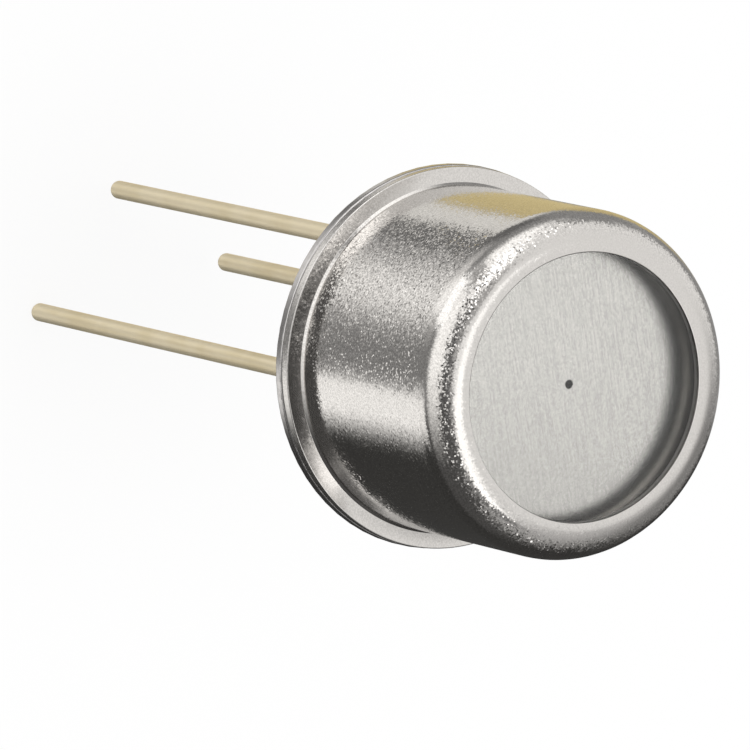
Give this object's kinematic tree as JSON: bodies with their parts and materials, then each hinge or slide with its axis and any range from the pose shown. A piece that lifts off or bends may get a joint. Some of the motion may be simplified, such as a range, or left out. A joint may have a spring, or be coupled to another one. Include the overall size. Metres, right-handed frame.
{
  "type": "uv photodiode",
  "caption": "Ultraviolet photodiode in a round flanged metal can with a glass window, a pinhole attenuator disc behind it and straight wire leads below.",
  "frame": {"origin": "centre of the seat, the underside of the header flange", "axes": "+Z along the optical axis, out of the window; the leads run along -Z; the anode lead is at +Y, the case lead at -X, the cathode lead at -Y, and the index tab lies between +X and +Y"},
  "size_m": [0.0092, 0.0092, 0.0211],
  "materials": {
    "nickel_header": "satin nickel plate",
    "nickel_cap": "fine-grained satin nickel plate",
    "gold_lead": "satin pale gold plate",
    "seal_glass": "dark sealing glass",
    "window_glass": "clear polished UV glass",
    "brushed_disc": "straight brushed",
    "submount_ceramic": "matte white",
    "chip": "polished dark chip",
    "bond_wire": "bright gold wire"
  },
  "bodies": {
    "root": {"header": "nickel_header", "seal_anode": "seal_glass", "seal_cathode": "seal_glass", "lead_anode": "gold_lead", "lead_case": "gold_lead", "lead_cathode": "gold_lead", "submount": "submount_ceramic", "photodiode_chip": "chip", "bond_wire_anode": "bond_wire", "bond_wire_cathode": "bond_wire", "attenuator_disc": "brushed_disc", "window": "window_glass", "cap": "nickel_cap"}
  },
  "joints": []
}
